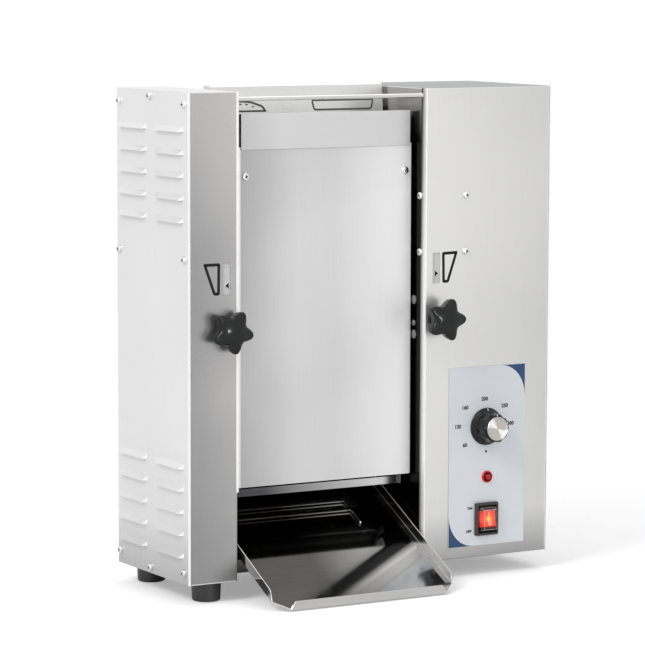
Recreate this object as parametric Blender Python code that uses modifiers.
"""Vertical contact toaster: two sheet-metal housings with a toasting chamber between them.

A heated platen stands in the middle of the chamber. A belt conveyor on each side of it carries the bread
down along the hot face and drops it on a sloping tray. Two star knobs set how wide each bread gap is.

All places are given from the front left bottom corner of the body: X to the right, Y to the back, Z up.
The empty BODY moves that corner so that the part stands on its feet at the world origin. Metres.
"""

import math

import bmesh
import bpy
from mathutils import Matrix, Vector

# Whole body
BODY_DEPTH = 0.176
BODY_HEIGHT = 0.547
LEFT_HOUSING_WIDTH = 0.0602
CHAMBER_WIDTH = 0.2446
RIGHT_HOUSING_WIDTH = 0.1702
SHEET = 0.0012
GAP = 0.0003
OVERRUN = 0.003
MERGE = 0.00005
ROUND_STEPS = 16
FINE_STEPS = 28

# Housings, left and right of the chamber
HOUSING_EDGE_RADIUS = 0.0014
HOUSING_EDGE_SEGMENTS = 2
WALL_SLOT_LENGTH = 0.018
WALL_SLOT_HEIGHT = 0.011

# Pressed louvres of the side covers
LOUVRE_FRONT_EDGE = 0.014
LOUVRE_REAR_EDGE = 0.007
LOUVRE_COLUMN_GAP = 0.023
LOUVRE_HEIGHT = 0.0145
LOUVRE_DEPTH = 0.0055
LOUVRE_WALL = 0.0009
LOUVRE_END_TAPER = 0.0045
LOUVRE_PITCH = 0.025
LOUVRE_ROWS = 5
LOUVRE_TOP_DROP = 0.044
LOUVRE_LOWER_TOP = 0.1295

# Chamber between the housings
LINER_OFFSET = 0.0105
LINER_FRONT_DISTANCE = 0.0715
LINER_REAR_DISTANCE = 0.0627
LINER_BOTTOM = 0.118
LINER_TOP_DROP = 0.012
BASE_FRONT = 0.045
BASE_REAR_DISTANCE = 0.0625
BASE_SHEET = 0.0015
BASE_FLANGE = 0.012
COVER_CLEARANCE = 0.0038
COVER_BOTTOM = 0.101
COVER_TOP_DROP = 0.0275
COVER_FLANGE = 0.012
REAR_COVER_BOTTOM = 0.014
REAR_COVER_FLANGE = 0.0112
CROSSBAR_DROP = 0.0755
CROSSBAR_HEIGHT = 0.015
CROSSBAR_THICKNESS = 0.0015
TIE_ROD_RADIUS = 0.0025
TIE_ROD_NUT_RADIUS = 0.0046
TIE_ROD_NUT_LENGTH = 0.004
TIE_ROD_FRONT = 0.007
TIE_ROD_DROP = 0.0085

# Platen, which stands in the middle of the chamber
PLATEN_FROM_REAR = 0.0765
PLATEN_BELOW_SHAFT = 0.003
PLATEN_TOP_DROP = 0.027
PLATEN_CLEARANCE = 0.0073
PLATEN_PLATE = 0.005
PLATEN_EDGE = 0.0008
ELEMENT_THICKNESS = 0.0054
ELEMENT_CLEARANCE = 0.0053
EAR_HEIGHT = 0.016
LOWER_EAR_RISE = 0.078
UPPER_EAR_DROP = 0.096
RELEASE_SHEET = 0.0005
RELEASE_SHEET_RISE = 0.028

# Bread guides at the top of the chamber, as distances from the platen's middle plane
GUIDE_CLEARANCE = 0.0068
GUIDE_ABOVE_COVER = 0.0015
GUIDE_HEIGHT = 0.040
GUIDE_LIP = 0.0045
GUIDE_END_DISTANCE = 0.0325
GUIDE_END_RISE = 0.017
GUIDE_END_HEIGHT = 0.006
CENTRE_GUIDE_OVERLAP = 0.015
CENTRE_GUIDE_RISE = 0.003
CENTRE_GUIDE_BEND = 0.0015
CENTRE_GUIDE_TOP_HALF = 0.0075

# Conveyors
CONVEYOR_SPACING = 0.0495
COVER_DISTANCE = 0.0745
UPPER_SHAFT_DROP = 0.067
LOWER_SHAFT_HEIGHT = 0.125
SHAFT_RADIUS = 0.005
SHAFT_CLEARANCE = 0.0004
ROLLER_WIDTH = 0.026
ROLLER_INSET = 0.0095
BELT_INNER_RADIUS = 0.016
BELT_THICKNESS = 0.0016
BELT_RIB = 0.0009
BELT_RIB_WIDTH = 0.005
BELT_RIB_PITCH = 0.0195
BELT_ARC_STEPS = 12
BELT_SIDE_PLAY = 0.00475
FRAME_CLEARANCE = 0.0063
FRAME_SHEET = 0.0015
FRAME_OUTER_DISTANCE = 0.0675
FRAME_FOOT = 0.019
FRAME_HEAD = 0.0185
PRESSURE_PLATE_INSET = 0.021
PRESSURE_PLATE_PLAY = 0.0006
FRAME_CORNER = 0.010
UPPER_SHAFT_END_ROOM = 0.0038
LOWER_SHAFT_END = 0.00125
BUSHING_RADIUS = 0.0065
BUSHING_FLANGE_RADIUS = 0.009
BUSHING_FLANGE = 0.0015
BUSHING_LENGTH = 0.0035
TONGUE_WIDTH = 0.008
LOWER_BAR_OFFSET = 0.005
LOWER_BAR_DROP = 0.019
LOWER_BAR_HEIGHT = 0.009
LOWER_BAR_THICKNESS = 0.0012

# Gear train in the right housing
GEAR_TEETH = 20
GEAR_MODULE = 0.002
GEAR_ADDENDUM = 0.0017
GEAR_DEDENDUM = 0.0026
GEAR_WIDTH = 0.006
GEAR_WALL_DISTANCE = 0.0042
GEAR_HUB_RADIUS = 0.009
GEAR_HUB_LENGTH = 0.0035
TOOTH_ROOT_SHARE = 0.60
TOOTH_TIP_SHARE = 0.24
IDLER_STUD_RADIUS = 0.004
IDLER_STUD_HEAD_RADIUS = 0.0065
IDLER_STUD_HEAD = 0.002
GEARBOX_WALL_DISTANCE = 0.0182
GEARBOX_LENGTH = 0.030
GEARBOX_SIDE = 0.060
GEARBOX_EDGE = 0.003
MOTOR_RADIUS = 0.025
MOTOR_LENGTH = 0.068
MOTOR_SHAFT_RADIUS = 0.004
MOTOR_SHAFT_DEPTH = 0.012
BOSS_RADIUS = 0.0035
BOSS_INSET = 0.0045

# Gap adjusters: a star knob below a slot in each front panel
LEFT_KNOB_INSET = 0.0139
RIGHT_KNOB_INSET = 0.0155
KNOB_HEIGHT = 0.283
KNOB_LOBES = 5
KNOB_TIP_RADIUS = 0.025
KNOB_VALLEY_RADIUS = 0.0155
KNOB_OUTLINE_STEPS = 45
KNOB_FACE = 0.0195
KNOB_HEAD = 0.013
KNOB_EDGE = 0.003
KNOB_EDGE_SEGMENTS = 2
KNOB_HUB_RADIUS = 0.009
LEFT_KNOB_TURN = -11.0
RIGHT_KNOB_TURN = 0.0
SPINDLE_RADIUS = 0.004
SPINDLE_DEPTH = 0.0055
PIN_RADIUS = 0.004
PIN_DISTANCE = 0.0515
PIN_REACH = 0.004
SPINDLE_STOP = 0.003
BRACKET_HALF_WIDTH = 0.012
BRACKET_BELOW_KNOB = 0.025
BRACKET_ABOVE_KNOB = 0.089
BRACKET_DEPTH = 0.0084
POINTER_SLOT_WIDTH = 0.0102
POINTER_SLOT_RISE = 0.040
POINTER_SLOT_HEIGHT = 0.0355
LEFT_SLOT_OFFSET = 0.0002
RIGHT_SLOT_OFFSET = -0.00045
POINTER_RISE = 0.0508
POINTER_LENGTH = 0.0072
POINTER_HALF_HEIGHT = 0.0042
POINTER_THICKNESS = 0.0008
POINTER_STEM = 0.003
POINTER_TAIL_WIDTH = 0.006
POINTER_TAIL_RISE = 0.018
POINTER_TAIL_THICKNESS = 0.0012

# Control panel
PANEL_LEFT_INSET = 0.0332
PANEL_RIGHT_INSET = 0.033
PANEL_BOTTOM = 0.0135
PANEL_HEIGHT = 0.210
PANEL_THICKNESS = 0.001
DIAL_OFFSET = -0.0015
DIAL_RISE = 0.1395
DIAL_SKIRT_RADIUS = 0.022
DIAL_SKIRT_EDGE_RADIUS = 0.0205
DIAL_SKIRT_THICKNESS = 0.003
DIAL_SKIRT_RISE = 0.0055
DIAL_BODY_RADIUS = 0.0172
DIAL_TOP_RADIUS = 0.0165
DIAL_FLUTES = 20
DIAL_FLUTE_DEPTH = 0.0007
DIAL_PROTRUSION = 0.0245
DIAL_CAP_RADIUS = 0.0148
DIAL_CAP_THICKNESS = 0.0009
DIAL_CAP_RECESS = 0.0006
DIAL_SPINDLE_RADIUS = 0.003
DIAL_SPINDLE_LENGTH = 0.016
THERMOSTAT_SIDE = 0.036
THERMOSTAT_DEPTH = 0.030
THERMOSTAT_NECK_RADIUS = 0.005
LAMP_RISE = 0.0802
LAMP_RADIUS = 0.007
LAMP_RIM = 0.0016
LAMP_LENS_RADIUS = 0.0052
LAMP_LENS_HEIGHT = 0.0042
LAMP_STEM_RADIUS = 0.0055
LAMP_STEM_LENGTH = 0.016
LAMP_DOME_STEPS = 4
SWITCH_OFFSET = -0.0015
SWITCH_RISE = 0.031
SWITCH_WIDTH = 0.028
SWITCH_HEIGHT = 0.037
SWITCH_BEZEL = 0.005
SWITCH_BEZEL_EDGE = 0.0012
SWITCH_BODY_WIDTH = 0.0252
SWITCH_BODY_HEIGHT = 0.034
SWITCH_BODY_DEPTH = 0.022
SWITCH_CAVITY_WIDTH = 0.0226
SWITCH_CAVITY_HEIGHT = 0.0312
SWITCH_CAVITY_BACK = 0.004
ROCKER_CORNER = 0.0074
ROCKER_MIDDLE = 0.0058
ROCKER_HALF_HEIGHT = 0.014
ROCKER_SHOULDER = 0.003
ROCKER_BACK = 0.0015
ROCKER_BACK_HALF = 0.008
ROCKER_SHOULDER_INSET = 0.0004
ROCKER_TILT = -9.0

# Discharge tray and the plates around it
TRAY_CLEARANCE = 0.0048
TRAY_FRONT = -0.0845
TRAY_REAR_DISTANCE = 0.0125
TRAY_SIDE_END = -0.070
TRAY_CORNER = 0.016
CHUTE_BELOW_SHAFT = 0.0215
TRAY_SLOPE = 26.8
TRAY_WALL = 0.0137
TRAY_LIP = 0.010
TRAY_WALL_RAKE = 0.004
TRAY_LIP_RAKE = 0.006
TRAY_SHEET = 0.001
SUPPORT_FRONT = 0.004
SUPPORT_REAR_DISTANCE = 0.0115
SUPPORT_FLANGE = 0.008
CHUTE_FRONT_DISTANCE = 0.014
CHUTE_REAR_DISTANCE = 0.0605
CHUTE_RAISE = 0.0014
CHUTE_FLANGE = 0.010
WIRE_RADIUS = 0.0013
WIRE_LIFT = 0.0026
WIRE_LEFT_INSET = 0.013
WIRE_RIGHT_INSET = 0.057
WIRE_CROSS_PLACES = (0.077, 0.061)
WIRE_REAR = 0.0807
WIRE_FRONT = 0.0389
WIRE_SIDES = 6

# Feet and cord gland
FOOT_HEIGHT = 0.022
FOOT_TOP_RADIUS = 0.0168
FOOT_BOTTOM_RADIUS = 0.016
FOOT_EDGE = 0.0015
FOOT_RECESS_RADIUS = 0.0045
FOOT_RECESS_DEPTH = 0.004
FOOT_LEFT = 0.033
FOOT_RIGHT_INSET = 0.0207
FOOT_FRONT = 0.024
FOOT_REAR_INSET = 0.018
GLAND_INSET = 0.035
GLAND_HEIGHT = 0.040
GLAND_FLANGE_RADIUS = 0.011
GLAND_FLANGE = 0.003
GLAND_NOSE_RADIUS = 0.008
GLAND_TIP_RADIUS = 0.0062
GLAND_NOSE = 0.009
GLAND_BORE_RADIUS = 0.0042
GLAND_BARREL_RADIUS = 0.0075
GLAND_BARREL = 0.008

# Worked out from the sizes above
BODY_WIDTH = LEFT_HOUSING_WIDTH + CHAMBER_WIDTH + RIGHT_HOUSING_WIDTH
LEFT_WALL = LEFT_HOUSING_WIDTH
RIGHT_WALL = LEFT_WALL + CHAMBER_WIDTH
LINER_FACE = LEFT_WALL + LINER_OFFSET
CHAMBER_MIDDLE = (LINER_FACE + RIGHT_WALL) / 2
PASSAGE_WIDTH = RIGHT_WALL - LINER_FACE
COVER_WIDTH = PASSAGE_WIDTH - 2 * COVER_CLEARANCE
GUIDE_WIDTH = PASSAGE_WIDTH - 2 * GUIDE_CLEARANCE
PLATEN_WIDTH = PASSAGE_WIDTH - 2 * PLATEN_CLEARANCE
ELEMENT_WIDTH = PASSAGE_WIDTH - 2 * ELEMENT_CLEARANCE
FRAME_WIDTH = PASSAGE_WIDTH - 2 * FRAME_CLEARANCE
BELT_WIDTH = FRAME_WIDTH - 2 * FRAME_SHEET - 2 * BELT_SIDE_PLAY
ROLLER_SPREAD = (BELT_WIDTH - ROLLER_WIDTH) / 2 - ROLLER_INSET
PLATEN_MIDDLE = BODY_DEPTH - PLATEN_FROM_REAR
LINER_FRONT = PLATEN_MIDDLE - LINER_FRONT_DISTANCE
LOUVRE_LENGTH = (BODY_DEPTH - LOUVRE_FRONT_EDGE - LOUVRE_COLUMN_GAP - LOUVRE_REAR_EDGE) / 2
LOUVRE_FRONT_COLUMN = LOUVRE_FRONT_EDGE + LOUVRE_LENGTH / 2
LOUVRE_REAR_COLUMN = BODY_DEPTH - LOUVRE_REAR_EDGE - LOUVRE_LENGTH / 2
UPPER_SHAFT_HEIGHT = BODY_HEIGHT - UPPER_SHAFT_DROP
COVER_TOP = BODY_HEIGHT - COVER_TOP_DROP
CROSSBAR_BOTTOM = COVER_TOP - CROSSBAR_DROP
GUIDE_TOP = COVER_TOP + GUIDE_ABOVE_COVER
GUIDE_END_BOTTOM = UPPER_SHAFT_HEIGHT + GUIDE_END_RISE
PLATEN_BOTTOM = LOWER_SHAFT_HEIGHT - PLATEN_BELOW_SHAFT
PLATEN_TOP = BODY_HEIGHT - PLATEN_TOP_DROP
FRAME_BOTTOM = LOWER_SHAFT_HEIGHT - FRAME_FOOT
LOWER_BAR_BOTTOM = FRAME_BOTTOM - LOWER_BAR_DROP
LOWER_BAR_MIDDLE = PLATEN_MIDDLE - CONVEYOR_SPACING - LOWER_BAR_OFFSET
LEFT_KNOB_PLACE = LEFT_WALL - LEFT_KNOB_INSET
RIGHT_KNOB_PLACE = RIGHT_WALL + RIGHT_KNOB_INSET
LEFT_SLOT_MIDDLE = LEFT_KNOB_PLACE + LEFT_SLOT_OFFSET
RIGHT_SLOT_MIDDLE = RIGHT_KNOB_PLACE + RIGHT_SLOT_OFFSET
PIN_HEIGHT = KNOB_HEIGHT
POINTER_SLOT_BOTTOM = KNOB_HEIGHT + POINTER_SLOT_RISE
POINTER_HEIGHT = KNOB_HEIGHT + POINTER_RISE
PANEL_LEFT = RIGHT_WALL + PANEL_LEFT_INSET
PANEL_WIDTH = RIGHT_HOUSING_WIDTH - PANEL_LEFT_INSET - PANEL_RIGHT_INSET
PANEL_MIDDLE = PANEL_LEFT + PANEL_WIDTH / 2
DIAL_PLACE = (PANEL_MIDDLE + DIAL_OFFSET, PANEL_BOTTOM + DIAL_RISE)
LAMP_PLACE = (PANEL_MIDDLE, PANEL_BOTTOM + LAMP_RISE)
SWITCH_PLACE = (PANEL_MIDDLE + SWITCH_OFFSET, PANEL_BOTTOM + SWITCH_RISE)
TRAY_LEFT = LEFT_WALL + TRAY_CLEARANCE
TRAY_RIGHT = RIGHT_WALL - TRAY_CLEARANCE
TRAY_REAR = PLATEN_MIDDLE + TRAY_REAR_DISTANCE
WIRE_LEFT = TRAY_LEFT + WIRE_LEFT_INSET
WIRE_RIGHT = TRAY_RIGHT - WIRE_RIGHT_INSET
CHUTE_FRONT = PLATEN_MIDDLE + CHUTE_FRONT_DISTANCE
CHUTE_REAR = PLATEN_MIDDLE + CHUTE_REAR_DISTANCE
FOOT_RIGHT = RIGHT_WALL + FOOT_RIGHT_INSET
FOOT_REAR = BODY_DEPTH - FOOT_REAR_INSET
REAR_MOST = BODY_DEPTH + GAP + GLAND_FLANGE + GLAND_NOSE
BODY_MIDDLE_DEPTH = (TRAY_FRONT + REAR_MOST) / 2
ROLLER_RADIUS = BELT_INNER_RADIUS - GAP
BELT_OUTER_RADIUS = BELT_INNER_RADIUS + BELT_THICKNESS
GEAR_RADIUS = GEAR_TEETH * GEAR_MODULE / 2
PANEL_FACE = -GAP - PANEL_THICKNESS
SLOPE = math.radians(TRAY_SLOPE)


def fresh_collection(name):
    """A new collection in the scene."""
    found = bpy.data.collections.new(name)
    bpy.context.scene.collection.children.link(found)
    return found


def finish(name, colour, roughness, metallic=0.0):
    """A Principled material."""
    made = bpy.data.materials.new(name)
    made.use_nodes = True
    shader = made.node_tree.nodes["Principled BSDF"]
    shader.inputs["Base Color"].default_value = (*colour, 1.0)
    shader.inputs["Roughness"].default_value = roughness
    shader.inputs["Metallic"].default_value = metallic
    return made


for old in list(bpy.data.objects):
    bpy.data.objects.remove(old, do_unlink=True)

PARTS = fresh_collection("vertical_contact_toaster")
CUTTERS = fresh_collection("cutters")
BODY = bpy.data.objects.new("toaster_body", None)
PARTS.objects.link(BODY)
BODY.location = (-BODY_WIDTH / 2, -BODY_MIDDLE_DEPTH, FOOT_HEIGHT)

STEEL = (0.62, 0.62, 0.61)
LIGHT_STEEL = (0.74, 0.74, 0.73)
BRIGHT = (0.80, 0.80, 0.80)
DARK = (0.05, 0.05, 0.05)
BLACK = (0.015, 0.015, 0.016)

ALONG = {
    "X": (0, math.pi / 2, 0),
    "Y": (-math.pi / 2, 0, 0),
    "-Y": (math.pi / 2, 0, 0),
    "Z": (0, 0, 0),
}
PLANES = {
    "XZ": (math.pi / 2, 0, 0),
    "YZ": (math.pi / 2, 0, math.pi / 2),
}


def add_object(name, data, place, turn, colour_of):
    """Links an object under the body. Without a finish it is a cutter."""
    item = bpy.data.objects.new(name, data)
    item.parent = BODY
    item.location = place
    item.rotation_euler = turn
    if colour_of is None:
        CUTTERS.objects.link(item)
        item.hide_render = True
        item.display_type = "WIRE"
    else:
        PARTS.objects.link(item)
        data.materials.append(finish(name, *colour_of))
    return item


def mesh_of(shape, name):
    """Writes a bmesh to a mesh and frees it."""
    made = bpy.data.meshes.new(name)
    shape.to_mesh(made)
    shape.free()
    return made


def box(name, low, high, colour_of=None, origin=None):
    """A box between two corners. Its origin is its centre, or the point given."""
    low = Vector(low)
    high = Vector(high)
    middle = (low + high) / 2
    origin = middle if origin is None else Vector(origin)
    shape = bmesh.new()
    bmesh.ops.create_cube(shape, size=1.0)
    bmesh.ops.scale(shape, vec=high - low, verts=shape.verts)
    bmesh.ops.translate(shape, vec=middle - origin, verts=shape.verts)
    return add_object(name, mesh_of(shape, name), origin, (0, 0, 0), colour_of)


def rod(name, start, end, radius, colour_of=None, steps=ROUND_STEPS):
    """A cylinder from one point to another, with its origin in its middle."""
    start = Vector(start)
    end = Vector(end)
    way = end - start
    shape = bmesh.new()
    bmesh.ops.create_cone(
        shape, cap_ends=True, segments=steps, radius1=radius, radius2=radius, depth=way.length
    )
    turn = Vector((0, 0, 1)).rotation_difference(way).to_euler()
    return add_object(name, mesh_of(shape, name), (start + end) / 2, turn, colour_of)


def turned(name, profile, place, along, colour_of=None, ring=False, steps=ROUND_STEPS):
    """A turned piece. The profile is (radius, height) from its top down the outer side."""
    shape = bmesh.new()
    points = [shape.verts.new((radius, 0, height)) for radius, height in profile]
    followers = points[1:] + points[:1] if ring else points[1:]
    for first, second in zip(points, followers):
        shape.edges.new((first, second))
    item = add_object(name, mesh_of(shape, name), place, ALONG[along], colour_of)
    screw = item.modifiers.new("Screw", "SCREW")
    screw.steps = steps
    screw.render_steps = steps
    screw.use_merge_vertices = True
    screw.merge_threshold = MERGE
    return item


def plate(name, outlines, place, thickness, plane, colour_of=None):
    """A flat outline, or one with holes, extruded evenly to both sides of its plane."""
    curve = bpy.data.curves.new(name, "CURVE")
    curve.dimensions = "2D"
    curve.fill_mode = "BOTH"
    curve.extrude = thickness / 2
    for outline in outlines:
        spline = curve.splines.new("POLY")
        spline.points.add(len(outline) - 1)
        for point, (across, up) in zip(spline.points, outline):
            point.co = (across, up, 0, 1)
        spline.use_cyclic_u = True
    return add_object(name, curve, place, PLANES[plane], colour_of)


def as_mesh(item, colour_of=None):
    """Replaces a curve by the mesh it makes, with its caps welded."""
    bpy.context.view_layer.update()
    graph = bpy.context.evaluated_depsgraph_get()
    made = bpy.data.meshes.new_from_object(item.evaluated_get(graph))
    shape = bmesh.new()
    shape.from_mesh(made)
    bmesh.ops.remove_doubles(shape, verts=shape.verts, dist=MERGE)
    bmesh.ops.recalc_face_normals(shape, faces=shape.faces)
    shape.to_mesh(made)
    shape.free()
    name = item.name
    place = item.location.copy()
    turn = item.rotation_euler.copy()
    bpy.data.objects.remove(item, do_unlink=True)
    return add_object(name, made, place, turn, colour_of)


def folded(name, line, sweep, thickness, grow, colour_of=None):
    """A folded sheet: a line of points swept sideways, thickened towards line x sweep times grow."""
    shape = bmesh.new()
    points = [shape.verts.new(point) for point in line]
    edges = [shape.edges.new(pair) for pair in zip(points, points[1:])]
    made = bmesh.ops.extrude_edge_only(shape, edges=edges)
    swept = [item for item in made["geom"] if isinstance(item, bmesh.types.BMVert)]
    bmesh.ops.translate(shape, vec=sweep, verts=swept)
    shape.normal_update()
    wanted = (Vector(line[1]) - Vector(line[0])).cross(Vector(sweep))
    if points[0].link_faces[0].normal.dot(wanted) < 0:
        bmesh.ops.reverse_faces(shape, faces=shape.faces)
    item = add_object(name, mesh_of(shape, name), (0, 0, 0), (0, 0, 0), colour_of)
    thicken(item, thickness, grow)
    return item


def thicken(item, thickness, grow):
    """Solidify towards the normals (1) or away from them (-1)."""
    solid = item.modifiers.new("Solidify", "SOLIDIFY")
    solid.thickness = thickness
    solid.offset = grow
    solid.use_even_offset = True


def bevel(item, width, segments):
    """Rounds the sharp edges."""
    rounding = item.modifiers.new("Bevel", "BEVEL")
    rounding.width = width
    rounding.segments = segments
    rounding.limit_method = "ANGLE"


def boolean(item, other, operation):
    """One Boolean modifier."""
    step = item.modifiers.new(other.name, "BOOLEAN")
    step.operation = operation
    step.solver = "EXACT"
    step.object = other


def cut(item, *cutters):
    """Cuts each cutter out of the piece."""
    for cutter in cutters:
        boolean(item, cutter, "DIFFERENCE")


def join(item, *others):
    """Makes the piece and the others one body."""
    for other in others:
        boolean(item, other, "UNION")


def smooth_round(item, angle=math.radians(35)):
    """Smooth shading that keeps the sharp edges."""
    if item.type == "MESH":
        item.data.shade_smooth()
        item.data.set_sharp_from_angle(angle=angle)


def circle(radius, steps, start=0.0):
    """Points of a circle, counter-clockwise."""
    turns = [start + math.tau * step / steps for step in range(steps)]
    return [(radius * math.cos(turn), radius * math.sin(turn)) for turn in turns]


METAL = (STEEL, 0.32, 1.0)
LIGHT_METAL = (LIGHT_STEEL, 0.35, 1.0)
BRIGHT_METAL = (BRIGHT, 0.12, 1.0)
DARK_METAL = ((0.10, 0.10, 0.10), 0.45, 1.0)
DARK_PLASTIC = (BLACK, 0.35)
RUBBER = (DARK, 0.75)


def housing(name, open_side, wall):
    """A folded housing from its open outer side to its inner wall."""
    shape = bmesh.new()
    bmesh.ops.create_cube(shape, size=1.0)
    size = (abs(wall - open_side), BODY_DEPTH, BODY_HEIGHT)
    bmesh.ops.scale(shape, vec=size, verts=shape.verts)
    outward = 1 if open_side > wall else -1
    open_faces = [face for face in shape.faces if face.normal.x * outward > 0.5]
    bmesh.ops.delete(shape, geom=open_faces, context="FACES")
    middle = ((open_side + wall) / 2, BODY_DEPTH / 2, BODY_HEIGHT / 2)
    item = add_object(name, mesh_of(shape, name), middle, (0, 0, 0), LIGHT_METAL)
    bevel(item, HOUSING_EDGE_RADIUS, HOUSING_EDGE_SEGMENTS)
    thicken(item, SHEET, -1)
    return item


def front_slot_cutter(side, middle):
    """The slot in a front panel that shows the gap pointer."""
    top = POINTER_SLOT_BOTTOM + POINTER_SLOT_HEIGHT
    return box(
        side + "_pointer_slot_cut",
        (middle - POINTER_SLOT_WIDTH / 2, -OVERRUN, POINTER_SLOT_BOTTOM),
        (middle + POINTER_SLOT_WIDTH / 2, OVERRUN, top),
    )


def front_hole_cutter(name, place, radius):
    """A round hole through a front panel."""
    return rod(name, (place[0], -OVERRUN, place[1]), (place[0], OVERRUN, place[1]), radius)


def wall_slot_cutter(name, wall, depth_place):
    """A slot in a chamber wall for the pin that moves a conveyor."""
    return box(
        name,
        (wall - OVERRUN, depth_place - WALL_SLOT_LENGTH / 2, PIN_HEIGHT - WALL_SLOT_HEIGHT / 2),
        (wall + OVERRUN, depth_place + WALL_SLOT_LENGTH / 2, PIN_HEIGHT + WALL_SLOT_HEIGHT / 2),
    )


def wall_hole_cutter(name, wall, place, radius):
    """A round hole through a chamber wall."""
    return rod(name, (wall - OVERRUN, *place), (wall + OVERRUN, *place), radius)


def away(distance, side):
    """Depth of something at this distance from the platen's middle plane, in front (1) or behind (-1)."""
    return PLATEN_MIDDLE - side * distance


def left_housing():
    """The narrow housing."""
    item = housing("left_housing", SHEET + GAP, LEFT_WALL)
    cut(
        item,
        front_slot_cutter("left", LEFT_SLOT_MIDDLE),
        front_hole_cutter("left_spindle_cut", (LEFT_KNOB_PLACE, KNOB_HEIGHT), SPINDLE_RADIUS + SHAFT_CLEARANCE),
        wall_slot_cutter("left_wall_slot_cut", LEFT_WALL, away(PIN_DISTANCE, 1)),
    )


def switch_hole_cutter():
    """The square hole behind the switch bezel."""
    half_width = SWITCH_BODY_WIDTH / 2 + GAP
    half_height = SWITCH_BODY_HEIGHT / 2 + GAP
    return box(
        "switch_hole_cut",
        (SWITCH_PLACE[0] - half_width, -OVERRUN, SWITCH_PLACE[1] - half_height),
        (SWITCH_PLACE[0] + half_width, OVERRUN, SWITCH_PLACE[1] + half_height),
    )


def right_housing():
    """The wide housing that holds the drive and the controls."""
    item = housing("right_housing", BODY_WIDTH - SHEET - GAP, RIGHT_WALL)
    gland = rod(
        "gland_cut",
        (BODY_WIDTH - GLAND_INSET, BODY_DEPTH - OVERRUN, GLAND_HEIGHT),
        (BODY_WIDTH - GLAND_INSET, BODY_DEPTH + OVERRUN, GLAND_HEIGHT),
        GLAND_BARREL_RADIUS + GAP,
    )
    cut(
        item,
        front_slot_cutter("right", RIGHT_SLOT_MIDDLE),
        front_hole_cutter("right_spindle_cut", (RIGHT_KNOB_PLACE, KNOB_HEIGHT), SPINDLE_RADIUS + SHAFT_CLEARANCE),
        front_hole_cutter("dial_cut", DIAL_PLACE, THERMOSTAT_NECK_RADIUS + GAP),
        front_hole_cutter("lamp_cut", LAMP_PLACE, LAMP_STEM_RADIUS + GAP),
        switch_hole_cutter(),
        wall_slot_cutter("right_wall_slot_cut", RIGHT_WALL, away(PIN_DISTANCE, -1)),
        gland,
    )
    for side, word in ((1, "front"), (-1, "rear")):
        place = (away(CONVEYOR_SPACING, side), UPPER_SHAFT_HEIGHT)
        cut(item, wall_hole_cutter(word + "_shaft_cut", RIGHT_WALL, place, BUSHING_RADIUS + GAP))


def louvre_mesh(name, plate_face, outward, shrink, shift, drop):
    """All louvre bodies of one cover as wedges. Shrunk and shifted ones hollow out the others."""
    shape = bmesh.new()
    for top_edge in (BODY_HEIGHT - LOUVRE_TOP_DROP, LOUVRE_LOWER_TOP):
        for row in range(LOUVRE_ROWS):
            for column in (LOUVRE_FRONT_COLUMN, LOUVRE_REAR_COLUMN):
                low_edge = top_edge - row * LOUVRE_PITCH
                add_wedge(shape, plate_face, outward, column, low_edge, shrink, shift, drop)
    bmesh.ops.recalc_face_normals(shape, faces=shape.faces)
    return mesh_of(shape, name)


def add_wedge(shape, plate_face, outward, column, low_edge, shrink, shift, drop):
    """One louvre: a cube whose outer top edge is drawn back to the plate and whose ends slant."""
    made = bmesh.ops.create_cube(shape, size=1.0)["verts"]
    root = plate_face - outward * (SHEET / 2 + shift)
    tip = plate_face + outward * (LOUVRE_DEPTH - shift)
    for corner in made:
        is_top = corner.co.z > 0
        is_tip = corner.co.x * outward > 0 and not is_top
        reach = LOUVRE_LENGTH / 2 - shrink - (LOUVRE_END_TAPER if is_tip else 0)
        corner.co.y = column + math.copysign(reach, corner.co.y)
        corner.co.x = tip if is_tip else root
        corner.co.z = low_edge - drop + (LOUVRE_HEIGHT if is_top else 0)
    bmesh.ops.remove_doubles(shape, verts=made, dist=MERGE)


def side_cover(name, face, outward):
    """A louvred side cover, with its outer face at the given place."""
    inner = face - outward * SHEET
    item = box(
        name, (min(face, inner), 0, 0), (max(face, inner), BODY_DEPTH, BODY_HEIGHT), LIGHT_METAL
    )
    lean = math.atan2(LOUVRE_DEPTH + SHEET / 2, LOUVRE_HEIGHT)
    shift = LOUVRE_WALL / math.cos(lean)
    shells = louvre_mesh(name + "_louvres", face, outward, 0, 0, 0)
    hollows = louvre_mesh(name + "_hollows", face, outward, LOUVRE_WALL, shift, LOUVRE_WALL / 2)
    join(item, add_object(name + "_louvres", shells, (0, 0, 0), (0, 0, 0), None))
    cut(item, add_object(name + "_hollows", hollows, (0, 0, 0), (0, 0, 0), None))


def chamber_liner():
    """The flanged plate that carries the left ends of the shafts."""
    rear = PLATEN_MIDDLE + LINER_REAR_DISTANCE
    line = (
        (LEFT_WALL + GAP, LINER_FRONT, LINER_BOTTOM),
        (LINER_FACE, LINER_FRONT, LINER_BOTTOM),
        (LINER_FACE, rear, LINER_BOTTOM),
        (LEFT_WALL + GAP, rear, LINER_BOTTOM),
    )
    rise = (0, 0, BODY_HEIGHT - LINER_TOP_DROP - LINER_BOTTOM)
    item = folded("left_chamber_liner", line, rise, SHEET, -1, DARK_METAL)
    cut(item, wall_slot_cutter("liner_slot_cut", LINER_FACE, away(PIN_DISTANCE, 1)))
    for side, word in ((1, "front"), (-1, "rear")):
        place = (away(CONVEYOR_SPACING, side), UPPER_SHAFT_HEIGHT)
        cut(item, wall_hole_cutter(word + "_liner_cut", LINER_FACE, place, BUSHING_RADIUS + GAP))


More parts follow.
